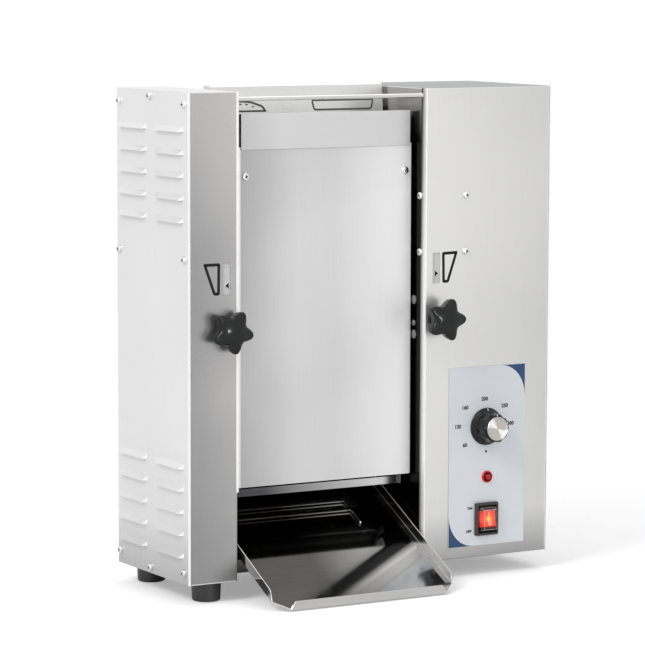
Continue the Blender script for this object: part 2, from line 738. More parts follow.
def base_plate():
    """The floor between the two housings, with upturned sides."""
    left = LEFT_WALL + GAP
    right = RIGHT_WALL - GAP
    line = (
        (left, BASE_FRONT, BASE_FLANGE),
        (left, BASE_FRONT, 0),
        (right, BASE_FRONT, 0),
        (right, BASE_FRONT, BASE_FLANGE),
    )
    length = PLATEN_MIDDLE + BASE_REAR_DISTANCE - BASE_FRONT
    folded("base_plate", line, (0, length, 0), BASE_SHEET, 1, METAL)


def conveyor_covers():
    """The front cover, the bar that it is screwed to, and the rear cover."""
    left = CHAMBER_MIDDLE - COVER_WIDTH / 2
    right = CHAMBER_MIDDLE + COVER_WIDTH / 2
    face = away(COVER_DISTANCE, 1)
    line = (
        (left, face + COVER_FLANGE, COVER_BOTTOM),
        (left, face, COVER_BOTTOM),
        (right, face, COVER_BOTTOM),
        (right, face + COVER_FLANGE, COVER_BOTTOM),
    )
    rise = (0, 0, COVER_TOP - COVER_BOTTOM)
    cover = folded("front_conveyor_cover", line, rise, SHEET, -1, LIGHT_METAL)
    bar_face = face + SHEET + GAP
    notch_low = (left - OVERRUN, bar_face - GAP, CROSSBAR_BOTTOM - GAP)
    notch_high = (
        right + OVERRUN,
        bar_face + CROSSBAR_THICKNESS + GAP,
        CROSSBAR_BOTTOM + CROSSBAR_HEIGHT + GAP,
    )
    cut(cover, box("crossbar_cut", notch_low, notch_high))
    box(
        "cover_crossbar",
        (LINER_FACE + GAP, bar_face, CROSSBAR_BOTTOM),
        (RIGHT_WALL - GAP, bar_face + CROSSBAR_THICKNESS, CROSSBAR_BOTTOM + CROSSBAR_HEIGHT),
        METAL,
    )
    rear = away(COVER_DISTANCE, -1)
    rear_line = (
        (LEFT_WALL + GAP, rear - REAR_COVER_FLANGE, REAR_COVER_BOTTOM),
        (LEFT_WALL + GAP, rear, REAR_COVER_BOTTOM),
        (RIGHT_WALL - GAP, rear, REAR_COVER_BOTTOM),
        (RIGHT_WALL - GAP, rear - REAR_COVER_FLANGE, REAR_COVER_BOTTOM),
    )
    folded("rear_cover", rear_line, (0, 0, COVER_TOP - REAR_COVER_BOTTOM), SHEET, 1, METAL)


def bread_guides():
    """The sloping guides that lead the bread into each gap, and the hood over the platen."""
    left = CHAMBER_MIDDLE - GUIDE_WIDTH / 2
    outer = COVER_DISTANCE + SHEET + GAP
    for side, name in ((1, "front_bun_guide"), (-1, "rear_bun_guide")):
        line = (
            (left, away(outer, side), GUIDE_TOP - GUIDE_HEIGHT),
            (left, away(outer, side), GUIDE_TOP),
            (left, away(outer - GUIDE_LIP, side), GUIDE_TOP),
            (left, away(GUIDE_END_DISTANCE, side), GUIDE_END_BOTTOM + GUIDE_END_HEIGHT),
            (left, away(GUIDE_END_DISTANCE, side), GUIDE_END_BOTTOM),
        )
        folded(name, line, (GUIDE_WIDTH, 0, 0), SHEET, side, LIGHT_METAL)
    hood = platen_half() + SHEET + GAP
    hood_left = CHAMBER_MIDDLE - COVER_WIDTH / 2
    hood_top = BODY_HEIGHT + CENTRE_GUIDE_RISE
    rising = [
        (hood, PLATEN_TOP - CENTRE_GUIDE_OVERLAP),
        (hood, PLATEN_TOP),
        (CENTRE_GUIDE_TOP_HALF, hood_top - CENTRE_GUIDE_BEND),
        (CENTRE_GUIDE_TOP_HALF - CENTRE_GUIDE_BEND, hood_top),
    ]
    front = [(hood_left, away(distance, 1), height) for distance, height in rising]
    rear = [(hood_left, away(distance, -1), height) for distance, height in reversed(rising)]
    sweep = (COVER_WIDTH, 0, 0)
    folded("centre_bun_guide", front + rear, sweep, SHEET, 1, LIGHT_METAL)


def platen_half():
    """Half the thickness of the platen with its release sheet."""
    return ELEMENT_THICKNESS / 2 + GAP + PLATEN_PLATE + GAP + RELEASE_SHEET


def element_outline():
    """The heating element's outline, with two ears on each side that reach the chamber walls."""
    half = ELEMENT_WIDTH / 2
    right_ear = RIGHT_WALL - GAP - CHAMBER_MIDDLE
    rising = [(half, PLATEN_BOTTOM)]
    for ear in (PLATEN_BOTTOM + LOWER_EAR_RISE, PLATEN_TOP - UPPER_EAR_DROP):
        rising += [(half, ear), (right_ear, ear), (right_ear, ear + EAR_HEIGHT), (half, ear + EAR_HEIGHT)]
    rising.append((half, PLATEN_TOP))
    return rising + [(-across, up) for across, up in reversed(rising)]


def platen():
    """Two cast plates on the heating element, under a folded release sheet."""
    middle = (CHAMBER_MIDDLE, PLATEN_MIDDLE, 0)
    plate("platen_element", [element_outline()], middle, ELEMENT_THICKNESS, "XZ", DARK_METAL)
    near = ELEMENT_THICKNESS / 2 + GAP
    far = near + PLATEN_PLATE
    for side, name in ((1, "front_platen"), (-1, "rear_platen")):
        depths = sorted((away(near, side), away(far, side)))
        item = box(
            name,
            (CHAMBER_MIDDLE - PLATEN_WIDTH / 2, depths[0], PLATEN_BOTTOM),
            (CHAMBER_MIDDLE + PLATEN_WIDTH / 2, depths[1], PLATEN_TOP),
            ((0.30, 0.30, 0.31), 0.4, 1.0),
        )
        bevel(item, PLATEN_EDGE, 1)
    sheet_face = platen_half()
    sheet_top = PLATEN_TOP + GAP + RELEASE_SHEET
    left = CHAMBER_MIDDLE - PLATEN_WIDTH / 2
    sheet_bottom = PLATEN_BOTTOM + RELEASE_SHEET_RISE
    line = (
        (left, away(sheet_face, 1), sheet_bottom),
        (left, away(sheet_face, 1), sheet_top),
        (left, away(sheet_face, -1), sheet_top),
        (left, away(sheet_face, -1), sheet_bottom),
    )
    folded("release_sheet", line, (PLATEN_WIDTH, 0, 0), RELEASE_SHEET, 1, ((0.16, 0.11, 0.07), 0.4))


def tie_rod():
    """The bright rod that ties the two housings together at the top, with its nut."""
    length = RIGHT_WALL - LEFT_WALL - 2 * GAP
    profile = (
        (0, length),
        (TIE_ROD_NUT_RADIUS, length),
        (TIE_ROD_NUT_RADIUS, length - TIE_ROD_NUT_LENGTH),
        (TIE_ROD_RADIUS, length - TIE_ROD_NUT_LENGTH),
        (TIE_ROD_RADIUS, 0),
        (0, 0),
    )
    place = (LEFT_WALL + GAP, TIE_ROD_FRONT, BODY_HEIGHT - TIE_ROD_DROP)
    turned("tie_rod", profile, place, "X", BRIGHT_METAL)


def roller_profile(left_end, right_end):
    """A shaft with three rollers, from its right end to its left end."""
    points = [(0, right_end), (SHAFT_RADIUS, right_end)]
    for middle in (ROLLER_SPREAD, 0, -ROLLER_SPREAD):
        points.append((SHAFT_RADIUS, middle + ROLLER_WIDTH / 2))
        points.append((ROLLER_RADIUS, middle + ROLLER_WIDTH / 2))
        points.append((ROLLER_RADIUS, middle - ROLLER_WIDTH / 2))
        points.append((SHAFT_RADIUS, middle - ROLLER_WIDTH / 2))
    return [*points, (SHAFT_RADIUS, left_end), (0, left_end)]


def on_loop(travel, radius):
    """A point of the belt's loop, at this travel along it and radius round the shafts."""
    span = UPPER_SHAFT_HEIGHT - LOWER_SHAFT_HEIGHT
    bend = math.pi * BELT_OUTER_RADIUS
    travel = travel % (2 * span + 2 * bend)
    if travel < span:
        return (radius, travel - span / 2)
    travel -= span
    if travel < bend:
        turn = travel / BELT_OUTER_RADIUS
        return (radius * math.cos(turn), span / 2 + radius * math.sin(turn))
    travel -= bend
    if travel < span:
        return (-radius, span / 2 - travel)
    turn = math.pi + (travel - span) / BELT_OUTER_RADIUS
    return (radius * math.cos(turn), -span / 2 + radius * math.sin(turn))


def belt_outlines():
    """The ribbed outer line and the plain inner line of a belt."""
    span = UPPER_SHAFT_HEIGHT - LOWER_SHAFT_HEIGHT
    length = 2 * span + math.tau * BELT_OUTER_RADIUS
    ribs = round(length / BELT_RIB_PITCH)
    outer = []
    for rib in range(ribs):
        start = length * rib / ribs
        end = start + BELT_RIB_WIDTH
        outer.append(on_loop(start, BELT_OUTER_RADIUS))
        outer.append(on_loop(start, BELT_OUTER_RADIUS + BELT_RIB))
        outer.append(on_loop(end, BELT_OUTER_RADIUS + BELT_RIB))
        outer.append(on_loop(end, BELT_OUTER_RADIUS))
    inner = []
    for start, centre in ((0, span / 2), (math.pi, -span / 2)):
        for step in range(BELT_ARC_STEPS + 1):
            turn = start + math.pi * step / BELT_ARC_STEPS
            across = BELT_INNER_RADIUS * math.cos(turn)
            inner.append((across, centre + BELT_INNER_RADIUS * math.sin(turn)))
    return [outer, inner]


def frame_side_outline(side):
    """A conveyor's side plate, seen from the right and measured from its upper shaft."""
    outer = -side * (FRAME_OUTER_DISTANCE - CONVEYOR_SPACING)
    inner = side * (BELT_INNER_RADIUS - PRESSURE_PLATE_PLAY)
    bottom = FRAME_BOTTOM - UPPER_SHAFT_HEIGHT
    cut_in = side * FRAME_CORNER
    foot = [(outer + cut_in, bottom), (inner - cut_in, bottom)]
    if side > 0:
        low = LOWER_BAR_BOTTOM - UPPER_SHAFT_HEIGHT
        middle = LOWER_BAR_MIDDLE - away(CONVEYOR_SPACING, 1)
        near = middle - TONGUE_WIDTH / 2
        far = middle + TONGUE_WIDTH / 2
        foot = [(near, bottom), (near, low), (far, low), (far, bottom)]
    shoulder = FRAME_HEAD - FRAME_CORNER
    outline = [(outer + cut_in, FRAME_HEAD), (outer, shoulder), (outer, bottom + FRAME_CORNER)]
    outline += foot
    outline += [(inner, bottom + FRAME_CORNER), (inner, shoulder), (inner - cut_in, FRAME_HEAD)]
    return outline


def conveyor_frame(word, side):
    """Two side plates joined by the plate that presses the belt to the bread, and the adjuster's pin."""
    axis = away(CONVEYOR_SPACING, side)
    hinge = (CHAMBER_MIDDLE, axis, UPPER_SHAFT_HEIGHT)
    plate_place = CHAMBER_MIDDLE + (FRAME_WIDTH - FRAME_SHEET) / 2
    drop = LOWER_SHAFT_HEIGHT - UPPER_SHAFT_HEIGHT
    outlines = [
        frame_side_outline(side),
        circle(SHAFT_RADIUS + SHAFT_CLEARANCE, ROUND_STEPS),
        [(y, z + drop) for y, z in circle(SHAFT_RADIUS + SHAFT_CLEARANCE, ROUND_STEPS)],
    ]
    sides = []
    for offset, end in ((plate_place, "right"), (2 * CHAMBER_MIDDLE - plate_place, "left")):
        name = f"{word}_frame_{end}_side"
        made = plate(name, outlines, (offset, axis, UPPER_SHAFT_HEIGHT), FRAME_SHEET, "YZ")
        sides.append(as_mesh(made))
    near = side * (BELT_INNER_RADIUS - PRESSURE_PLATE_PLAY - GAP)
    depths = sorted((axis + near, axis + near - side * FRAME_SHEET))
    half = FRAME_WIDTH / 2 - FRAME_SHEET / 2
    item = box(
        word + "_conveyor_frame",
        (CHAMBER_MIDDLE - half, depths[0], LOWER_SHAFT_HEIGHT + PRESSURE_PLATE_INSET),
        (CHAMBER_MIDDLE + half, depths[1], UPPER_SHAFT_HEIGHT - PRESSURE_PLATE_INSET),
        METAL,
        origin=hinge,
    )
    pin_depth = away(PIN_DISTANCE, side)
    inside = CHAMBER_MIDDLE - side * (FRAME_WIDTH / 2 - FRAME_SHEET / 2)
    knob = LEFT_KNOB_PLACE if side > 0 else RIGHT_KNOB_PLACE
    reach = knob - side * PIN_REACH
    pin = rod(word + "_frame_pin", (inside, pin_depth, PIN_HEIGHT), (reach, pin_depth, PIN_HEIGHT), PIN_RADIUS)
    join(item, *sides, pin)


def bushing(name, wall, inward, place):
    """A flanged bushing in a chamber wall. Its barrel runs away from the chamber."""
    bore = SHAFT_RADIUS + GAP
    face = wall - inward * GAP
    profile = (
        (bore, BUSHING_LENGTH),
        (BUSHING_RADIUS, BUSHING_LENGTH),
        (BUSHING_RADIUS, 0),
        (BUSHING_FLANGE_RADIUS, 0),
        (BUSHING_FLANGE_RADIUS, -BUSHING_FLANGE),
        (bore, -BUSHING_FLANGE),
    )
    if inward < 0:
        profile = [(radius, -height) for radius, height in reversed(profile)]
    brass = ((0.55, 0.42, 0.20), 0.35, 1.0)
    turned(name, profile, (face, *place), "X", brass, ring=True)


def conveyor(word, side):
    """One conveyor: frame, belt, shafts and bushings."""
    axis = away(CONVEYOR_SPACING, side)
    middle_height = (UPPER_SHAFT_HEIGHT + LOWER_SHAFT_HEIGHT) / 2
    conveyor_frame(word, side)
    belt = (0.09, 0.085, 0.08), 0.6
    middle = (CHAMBER_MIDDLE, axis, middle_height)
    plate(word + "_belt", belt_outlines(), middle, BELT_WIDTH, "YZ", belt)
    gear_end = RIGHT_WALL + SHEET + GEAR_WALL_DISTANCE + GEAR_WIDTH + GEAR_HUB_LENGTH
    left_end = LEFT_WALL + UPPER_SHAFT_END_ROOM
    upper = roller_profile(left_end - CHAMBER_MIDDLE, gear_end - CHAMBER_MIDDLE)
    upper_place = (CHAMBER_MIDDLE, axis, UPPER_SHAFT_HEIGHT)
    turned(word + "_upper_shaft", upper, upper_place, "X", METAL)
    lower_end = FRAME_WIDTH / 2 + LOWER_SHAFT_END
    lower = roller_profile(-lower_end, lower_end)
    lower_place = (CHAMBER_MIDDLE, axis, LOWER_SHAFT_HEIGHT)
    turned(word + "_lower_shaft", lower, lower_place, "X", METAL)
    bushing(word + "_left_bushing", LINER_FACE, -1, (axis, UPPER_SHAFT_HEIGHT))
    bushing(word + "_right_bushing", RIGHT_WALL, 1, (axis, UPPER_SHAFT_HEIGHT))


def lower_bar():
    """The bright strip under the front conveyor."""
    half = FRAME_WIDTH / 2 - FRAME_SHEET - GAP
    box(
        "front_lower_bar",
        (CHAMBER_MIDDLE - half, LOWER_BAR_MIDDLE - LOWER_BAR_THICKNESS / 2, LOWER_BAR_BOTTOM),
        (
            CHAMBER_MIDDLE + half,
            LOWER_BAR_MIDDLE + LOWER_BAR_THICKNESS / 2,
            LOWER_BAR_BOTTOM + LOWER_BAR_HEIGHT,
        ),
        BRIGHT_METAL,
    )


def gear_outline(phase):
    """A spur gear with one tooth centred on the phase angle."""
    pitch = math.tau / GEAR_TEETH
    root = GEAR_RADIUS - GEAR_DEDENDUM
    tip = GEAR_RADIUS + GEAR_ADDENDUM
    outline = []
    for tooth in range(GEAR_TEETH):
        centre = phase + tooth * pitch
        stations = (
            (root, -TOOTH_ROOT_SHARE),
            (tip, -TOOTH_TIP_SHARE),
            (tip, TOOTH_TIP_SHARE),
            (root, TOOTH_ROOT_SHARE),
        )
        for radius, share in stations:
            turn = centre + share * pitch / 2
            outline.append((radius * math.cos(turn), radius * math.sin(turn)))
    return outline


def gear_places():
    """Each gear's place and phase: front, motor, idler and rear, in a zigzag of equal gears."""
    centre_distance = 2 * GEAR_RADIUS
    outer_step = (2 * CONVEYOR_SPACING - centre_distance) / 2
    drop = math.sqrt(centre_distance**2 - outer_step**2)
    front = (away(CONVEYOR_SPACING, 1), UPPER_SHAFT_HEIGHT)
    rear = (away(CONVEYOR_SPACING, -1), UPPER_SHAFT_HEIGHT)
    motor = (front[0] + outer_step, UPPER_SHAFT_HEIGHT - drop)
    idler = (rear[0] - outer_step, UPPER_SHAFT_HEIGHT - drop)
    pitch = math.tau / GEAR_TEETH
    places = {}
    phase = 0.0
    last = None
    for name, place in (("front", front), ("motor", motor), ("idler", idler), ("rear", rear)):
        if last is not None:
            way = math.atan2(place[1] - last[1], place[0] - last[0])
            phase = (2 * way + math.pi + pitch / 2 - phase) % pitch
        places[name] = (place, phase)
        last = place
    return places


def gear(name, place, phase, bore):
    """One gear with its hub, on the inner side of the right housing's wall."""
    middle = RIGHT_WALL + SHEET + GEAR_WALL_DISTANCE + GEAR_WIDTH / 2
    outlines = [gear_outline(phase)]
    nylon = (0.75, 0.73, 0.66), 0.5
    made = plate(name, outlines, (middle, *place), GEAR_WIDTH, "YZ", nylon)
    item = as_mesh(made, nylon)
    hub_start = middle + GEAR_WIDTH / 2 - GAP
    hub_end = middle + GEAR_WIDTH / 2 + GEAR_HUB_LENGTH
    hub = rod(name + "_hub", (hub_start, *place), (hub_end, *place), GEAR_HUB_RADIUS)
    join(item, hub)
    if bore:
        hole_start = middle - GEAR_WIDTH / 2 - OVERRUN
        hole_end = hub_end + OVERRUN
        cut(item, rod(name + "_bore", (hole_start, *place), (hole_end, *place), bore))
    return item


def gear_train():
    """The four gears, the idler's stud and the gear motor."""
    places = gear_places()
    gear("front_gear", *places["front"], SHAFT_RADIUS + GAP)
    gear("rear_gear", *places["rear"], SHAFT_RADIUS + GAP)
    gear("idler_gear", *places["idler"], IDLER_STUD_RADIUS + GAP)
    motor_place, motor_phase = places["motor"]
    motor_gear = gear("motor_gear", motor_place, motor_phase, None)
    gearbox_face = RIGHT_WALL + SHEET + GEARBOX_WALL_DISTANCE
    shaft_start = RIGHT_WALL + SHEET + GEAR_WALL_DISTANCE + GEAR_WIDTH / 2
    shaft_end = gearbox_face + MOTOR_SHAFT_DEPTH
    shaft = rod("motor_gear_shaft", (shaft_start, *motor_place), (shaft_end, *motor_place), MOTOR_SHAFT_RADIUS)
    join(motor_gear, shaft)
    idler_stud(places["idler"][0])
    gear_motor(motor_place, gearbox_face)


def idler_stud(place):
    """The fixed stud that the idler gear turns on, with a retaining head."""
    base = RIGHT_WALL + SHEET + GAP
    reach = GEAR_WALL_DISTANCE + GEAR_WIDTH + GEAR_HUB_LENGTH
    profile = (
        (0, reach + IDLER_STUD_HEAD),
        (IDLER_STUD_HEAD_RADIUS, reach + IDLER_STUD_HEAD),
        (IDLER_STUD_HEAD_RADIUS, reach),
        (IDLER_STUD_RADIUS, reach),
        (IDLER_STUD_RADIUS, 0),
        (0, 0),
    )
    turned("idler_stud", profile, (base, *place), "X", METAL)


def gear_motor(place, face):
    """A gearbox and motor that stand off the wall on three bosses, clear of the gears."""
    depth, height = place
    half = GEARBOX_SIDE / 2
    item = box(
        "gear_motor",
        (face, depth - half, height - half),
        (face + GEARBOX_LENGTH, depth + half, height + half),
        ((0.25, 0.25, 0.26), 0.45, 1.0),
    )
    bevel(item, GEARBOX_EDGE, 1)
    can_start = face + GEARBOX_LENGTH - OVERRUN
    can_end = face + GEARBOX_LENGTH + MOTOR_LENGTH
    join(item, rod("motor_can", (can_start, *place), (can_end, *place), MOTOR_RADIUS))
    reach = half - BOSS_INSET
    for number, (across, up) in enumerate(((-1, -1), (1, -1), (1, 1))):
        spot = (depth + across * reach, height + up * reach)
        start = (RIGHT_WALL + SHEET + GAP, *spot)
        join(item, rod(f"motor_boss_{number}", start, (face + OVERRUN, *spot), BOSS_RADIUS))
    bore_end = face + MOTOR_SHAFT_DEPTH + GAP
    cut(item, rod("motor_bore", (face - OVERRUN, *place), (bore_end, *place), MOTOR_SHAFT_RADIUS + GAP))


def star_outline(turn):
    """The five-lobed outline of a star knob."""
    middle = (KNOB_TIP_RADIUS + KNOB_VALLEY_RADIUS) / 2
    swing = (KNOB_TIP_RADIUS - KNOB_VALLEY_RADIUS) / 2
    outline = []
    for step in range(KNOB_OUTLINE_STEPS):
        angle = math.tau * step / KNOB_OUTLINE_STEPS
        radius = middle + swing * math.cos(KNOB_LOBES * (angle - turn))
        outline.append((radius * math.cos(angle), radius * math.sin(angle)))
    return outline


def star_knob(word, place, turn):
    """A star knob: lobed head, hub, and the blind hole for its spindle."""
    name = word + "_star_knob"
    middle = (place, -KNOB_FACE + KNOB_HEAD / 2, KNOB_HEIGHT)
    head = plate(name, [star_outline(math.radians(turn))], middle, KNOB_HEAD, "XZ", DARK_PLASTIC)
    item = as_mesh(head, DARK_PLASTIC)
    bevel(item, KNOB_EDGE, KNOB_EDGE_SEGMENTS)
    back = -KNOB_FACE + KNOB_HEAD
    hub = rod(
        name + "_hub",
        (place, back - KNOB_EDGE, KNOB_HEIGHT),
        (place, -2 * GAP, KNOB_HEIGHT),
        KNOB_HUB_RADIUS,
    )
    join(item, hub)
    bore = rod(
        name + "_bore",
        (place, -KNOB_FACE + SPINDLE_DEPTH - GAP, KNOB_HEIGHT),
        (place, OVERRUN, KNOB_HEIGHT),
        SPINDLE_RADIUS + GAP,
    )
    cut(item, bore)
    smooth_round(item)


def adjuster(word, side, knob_place, slot_middle, turn):
    """A star knob with its spindle, bracket and sliding pointer."""
    star_knob(word, knob_place, turn)
    spindle_end = away(PIN_DISTANCE, side) - PIN_RADIUS - SPINDLE_STOP
    rod(
        word + "_adjuster_spindle",
        (knob_place, -KNOB_FACE + SPINDLE_DEPTH, KNOB_HEIGHT),
        (knob_place, spindle_end, KNOB_HEIGHT),
        SPINDLE_RADIUS,
        METAL,
        steps=ROUND_STEPS,
    )
    left = slot_middle - BRACKET_HALF_WIDTH
    start = SHEET + GAP
    bottom = KNOB_HEIGHT - BRACKET_BELOW_KNOB
    top = KNOB_HEIGHT + BRACKET_ABOVE_KNOB
    line = (
        (left, start, bottom),
        (left, start + BRACKET_DEPTH, bottom),
        (left, start + BRACKET_DEPTH, top),
        (left, start, top),
    )
    bracket = folded(word + "_adjuster_bracket", line, (2 * BRACKET_HALF_WIDTH, 0, 0), SHEET, -1, METAL)
    hole = rod(
        word + "_bracket_cut",
        (knob_place, start, KNOB_HEIGHT),
        (knob_place, start + BRACKET_DEPTH + OVERRUN, KNOB_HEIGHT),
        SPINDLE_RADIUS + SHAFT_CLEARANCE,
    )
    cut(bracket, hole)
    pointer(word, side, slot_middle, start + BRACKET_DEPTH - SHEET - GAP)


def pointer(word, side, slot_middle, tail_back):
    """The arrow in the slot, on a stem and a tail that slides along the bracket."""
    tip = -side * POINTER_LENGTH / 2
    outline = [
        (tip, 0),
        (-tip, POINTER_HALF_HEIGHT),
        (-tip, -POINTER_HALF_HEIGHT),
    ]
    if side < 0:
        outline.reverse()
    name = word + "_pointer"
    place = (slot_middle, GAP + POINTER_THICKNESS / 2, POINTER_HEIGHT)
    arrow = as_mesh(plate(name + "_arrow", [outline], place, POINTER_THICKNESS, "XZ"))
    half_tail = POINTER_TAIL_WIDTH / 2
    item = box(
        name,
        (slot_middle - half_tail, tail_back - POINTER_TAIL_THICKNESS, KNOB_HEIGHT + POINTER_TAIL_RISE),
        (slot_middle + half_tail, tail_back, POINTER_HEIGHT + POINTER_STEM),
        DARK_PLASTIC,
    )
    stem = box(
        name + "_stem",
        (slot_middle - POINTER_STEM / 2, GAP + POINTER_THICKNESS / 2, POINTER_HEIGHT - POINTER_STEM / 2),
        (
            slot_middle + POINTER_STEM / 2,
            tail_back - POINTER_TAIL_THICKNESS / 2,
            POINTER_HEIGHT + POINTER_STEM / 2,
        ),
    )
    join(item, arrow, stem)


def control_panel():
    """The panel plate with holes for the thermostat, lamp and switch."""
    item = box(
        "control_panel",
        (PANEL_LEFT, PANEL_FACE, PANEL_BOTTOM),
        (PANEL_LEFT + PANEL_WIDTH, -GAP, PANEL_BOTTOM + PANEL_HEIGHT),
        ((0.78, 0.81, 0.85), 0.4),
    )
    for name in ("dial_cut", "lamp_cut", "switch_hole_cut"):
        cut(item, bpy.data.objects[name])


def thermostat():
    """The thermostat behind the panel, its fluted knob and the knob's spun cap."""
    across, height = DIAL_PLACE
    start = SHEET + GAP
    half = THERMOSTAT_SIDE / 2
    body = box(
        "thermostat_body",
        (across - half, start, height - half),
        (across + half, start + THERMOSTAT_DEPTH, height + half),
        METAL,
    )
    neck = rod(
        "thermostat_neck",
        (across, PANEL_FACE, height),
        (across, start + GAP, height),
        THERMOSTAT_NECK_RADIUS,
    )
    join(body, neck)
    back = PANEL_FACE - GAP
    bore = rod(
        "thermostat_bore",
        (across, back - OVERRUN, height),
        (across, back + DIAL_SPINDLE_LENGTH + GAP, height),
        DIAL_SPINDLE_RADIUS + GAP,
    )
    cut(body, bore)
    top = DIAL_PROTRUSION
    profile = (
        (0, top - DIAL_CAP_RECESS),
        (DIAL_CAP_RADIUS + GAP, top - DIAL_CAP_RECESS),
        (DIAL_CAP_RADIUS + GAP, top),
        (DIAL_TOP_RADIUS - DIAL_FLUTE_DEPTH, top),
        (DIAL_BODY_RADIUS - DIAL_FLUTE_DEPTH, DIAL_SKIRT_RISE),
        (DIAL_SKIRT_EDGE_RADIUS, DIAL_SKIRT_THICKNESS),
        (DIAL_SKIRT_RADIUS, 0),
        (DIAL_SPINDLE_RADIUS, 0),
        (DIAL_SPINDLE_RADIUS, -DIAL_SPINDLE_LENGTH),
        (0, -DIAL_SPINDLE_LENGTH),
    )
    knob = turned(
        "thermostat_knob", profile, (across, back, height), "-Y", DARK_PLASTIC, steps=FINE_STEPS
    )
    flutes = []
    for step in range(4 * DIAL_FLUTES):
        angle = math.tau * step / (4 * DIAL_FLUTES)
        radius = DIAL_TOP_RADIUS + DIAL_FLUTE_DEPTH * (1 if step % 4 < 2 else -1)
        flutes.append((radius * math.cos(angle), radius * math.sin(angle)))
    flute_top = top - DIAL_CAP_RECESS
    flute_middle = (across, back - (DIAL_SKIRT_THICKNESS + flute_top) / 2, height)
    ring = [flutes, circle(DIAL_CAP_RADIUS + GAP, FINE_STEPS)]
    fluted = plate("thermostat_flutes", ring, flute_middle, flute_top - DIAL_SKIRT_THICKNESS, "XZ")
    join(knob, as_mesh(fluted))
    cap_back = back - (top - DIAL_CAP_RECESS) - GAP
    rod(
        "thermostat_cap",
        (across, cap_back, height),
        (across, cap_back - DIAL_CAP_THICKNESS, height),
        DIAL_CAP_RADIUS,
        BRIGHT_METAL,
        steps=FINE_STEPS,
    )


def pilot_lamp():
    """A small indicator lamp with a domed lens."""
    across, height = LAMP_PLACE
    dome = []
    for step in range(LAMP_DOME_STEPS):
        turn = math.pi / 2 * (1 - step / LAMP_DOME_STEPS)
        rise = LAMP_RIM + (LAMP_LENS_HEIGHT - LAMP_RIM) * math.sin(turn)
        dome.append((LAMP_LENS_RADIUS * math.cos(turn) if step else 0, rise))
    profile = [
        *dome,
        (LAMP_LENS_RADIUS, LAMP_RIM),
        (LAMP_RADIUS, LAMP_RIM),
        (LAMP_RADIUS, 0),
        (LAMP_STEM_RADIUS, 0),
        (LAMP_STEM_RADIUS, -LAMP_STEM_LENGTH),
        (0, -LAMP_STEM_LENGTH),
    ]
    turned("pilot_lamp", profile, (across, PANEL_FACE - GAP, height), "-Y", ((0.6, 0.02, 0.02), 0.25))


def power_switch():
    """The rocker switch: its bezel and body, and the rocker at rest in its on position."""
    across, height = SWITCH_PLACE
    back = PANEL_FACE - GAP
    item = box(
        "switch_housing",
        (across - SWITCH_WIDTH / 2, back - SWITCH_BEZEL, height - SWITCH_HEIGHT / 2),
        (across + SWITCH_WIDTH / 2, back, height + SWITCH_HEIGHT / 2),
        DARK_PLASTIC,
    )
    bevel(item, SWITCH_BEZEL_EDGE, 1)
    body = box(
        "switch_body",
        (across - SWITCH_BODY_WIDTH / 2, back - SWITCH_BEZEL_EDGE, height - SWITCH_BODY_HEIGHT / 2),
        (across + SWITCH_BODY_WIDTH / 2, SWITCH_BODY_DEPTH, height + SWITCH_BODY_HEIGHT / 2),
    )
    cavity = box(
        "switch_cavity",
        (across - SWITCH_CAVITY_WIDTH / 2, back - SWITCH_BEZEL - OVERRUN, height - SWITCH_CAVITY_HEIGHT / 2),
        (across + SWITCH_CAVITY_WIDTH / 2, SWITCH_CAVITY_BACK, height + SWITCH_CAVITY_HEIGHT / 2),
    )
    join(item, body)
    cut(item, cavity)
    outline = [
        (-ROCKER_CORNER, ROCKER_HALF_HEIGHT),
        (-ROCKER_MIDDLE, 0),
        (-ROCKER_CORNER, -ROCKER_HALF_HEIGHT),
        (-ROCKER_SHOULDER, ROCKER_SHOULDER_INSET - ROCKER_HALF_HEIGHT),
        (ROCKER_BACK, -ROCKER_BACK_HALF),
        (ROCKER_BACK, ROCKER_BACK_HALF),
        (-ROCKER_SHOULDER, ROCKER_HALF_HEIGHT - ROCKER_SHOULDER_INSET),
    ]
    tilt = Matrix.Rotation(math.radians(ROCKER_TILT), 2)
    tilted = [tuple(tilt @ Vector(point)) for point in outline]
    width = SWITCH_CAVITY_WIDTH - 2 * GAP
    plate("power_rocker", [tilted], (across, 0, height), width, "YZ", ((0.55, 0.03, 0.02), 0.3))


def tray_floor(depth):
    """Height of the underside of the tray's floor at this depth. It falls from below the rear conveyor."""
    return LOWER_SHAFT_HEIGHT - CHUTE_BELOW_SHAFT - (CHUTE_REAR - depth) * math.tan(SLOPE)


